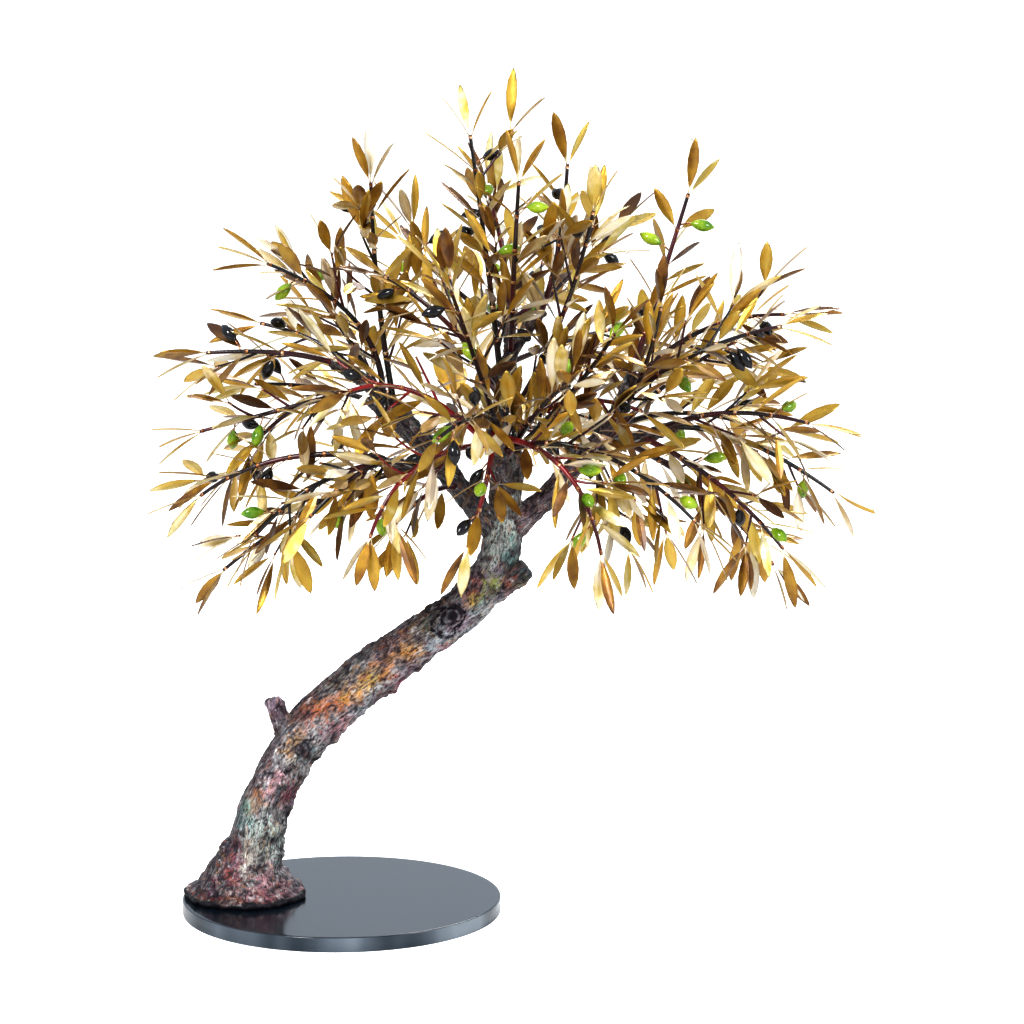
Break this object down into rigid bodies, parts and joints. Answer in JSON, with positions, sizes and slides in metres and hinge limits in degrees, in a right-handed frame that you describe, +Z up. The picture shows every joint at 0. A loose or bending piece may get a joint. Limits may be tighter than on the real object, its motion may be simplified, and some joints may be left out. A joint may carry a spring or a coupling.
{
  "type": "olive bonsai sculpture",
  "caption": "Olive bonsai sculpture: a leaning cast metal trunk on a round base plate, with lacquered stems, brass leaves and glazed olives set in its limbs.",
  "frame": {"origin": "centre of the base plate's underside", "axes": "+Z up, +X the way the trunk leans, +Y away from the viewer of the front"},
  "size_m": [0.7245, 0.6327, 0.8273],
  "materials": {
    "plate_lacquer": "gloss",
    "trunk_patina": "cast and patinated",
    "spray_brass": "satin",
    "screw_steel": "plain"
  },
  "bodies": {
    "root": {"base_plate": "plate_lacquer", "trunk": "trunk_patina", "foot_screw_1": "screw_steel", "foot_screw_2": "screw_steel", "foot_screw_3": "screw_steel", "spray_back_01": "spray_brass", "spray_back_02": "spray_brass", "spray_back_03": "spray_brass", "spray_back_05": "spray_brass", "spray_back_06": "spray_brass", "spray_back_07": "spray_brass", "spray_back_08": "spray_brass", "spray_front_01": "spray_brass", "spray_front_02": "spray_brass", "spray_front_03": "spray_brass", "spray_front_04": "spray_brass", "spray_front_05": "spray_brass", "spray_front_06": "spray_brass", "spray_front_07": "spray_brass", "spray_left_01": "spray_brass", "spray_left_02": "spray_brass", "spray_left_03": "spray_brass", "spray_left_04": "spray_brass", "spray_left_05": "spray_brass", "spray_left_06": "spray_brass", "spray_left_07": "spray_brass", "spray_left_08": "spray_brass", "spray_left_09": "spray_brass", "spray_left_10": "spray_brass", "spray_left_13": "spray_brass", "spray_right_01": "spray_brass", "spray_right_02": "spray_brass", "spray_right_03": "spray_brass", "spray_right_04": "spray_brass", "spray_right_05": "spray_brass", "spray_right_06": "spray_brass", "spray_right_07": "spray_brass", "spray_right_08": "spray_brass", "spray_right_09": "spray_brass", "spray_right_10": "spray_brass", "spray_right_11": "spray_brass", "spray_right_13": "spray_brass", "spray_top_01": "spray_brass", "spray_top_02": "spray_brass", "spray_top_03": "spray_brass", "spray_top_04": "spray_brass", "spray_top_05": "spray_brass", "spray_top_06": "spray_brass", "spray_top_07": "spray_brass", "spray_top_08": "spray_brass", "spray_top_09": "spray_brass", "spray_top_10": "spray_brass"}
  },
  "joints": []
}
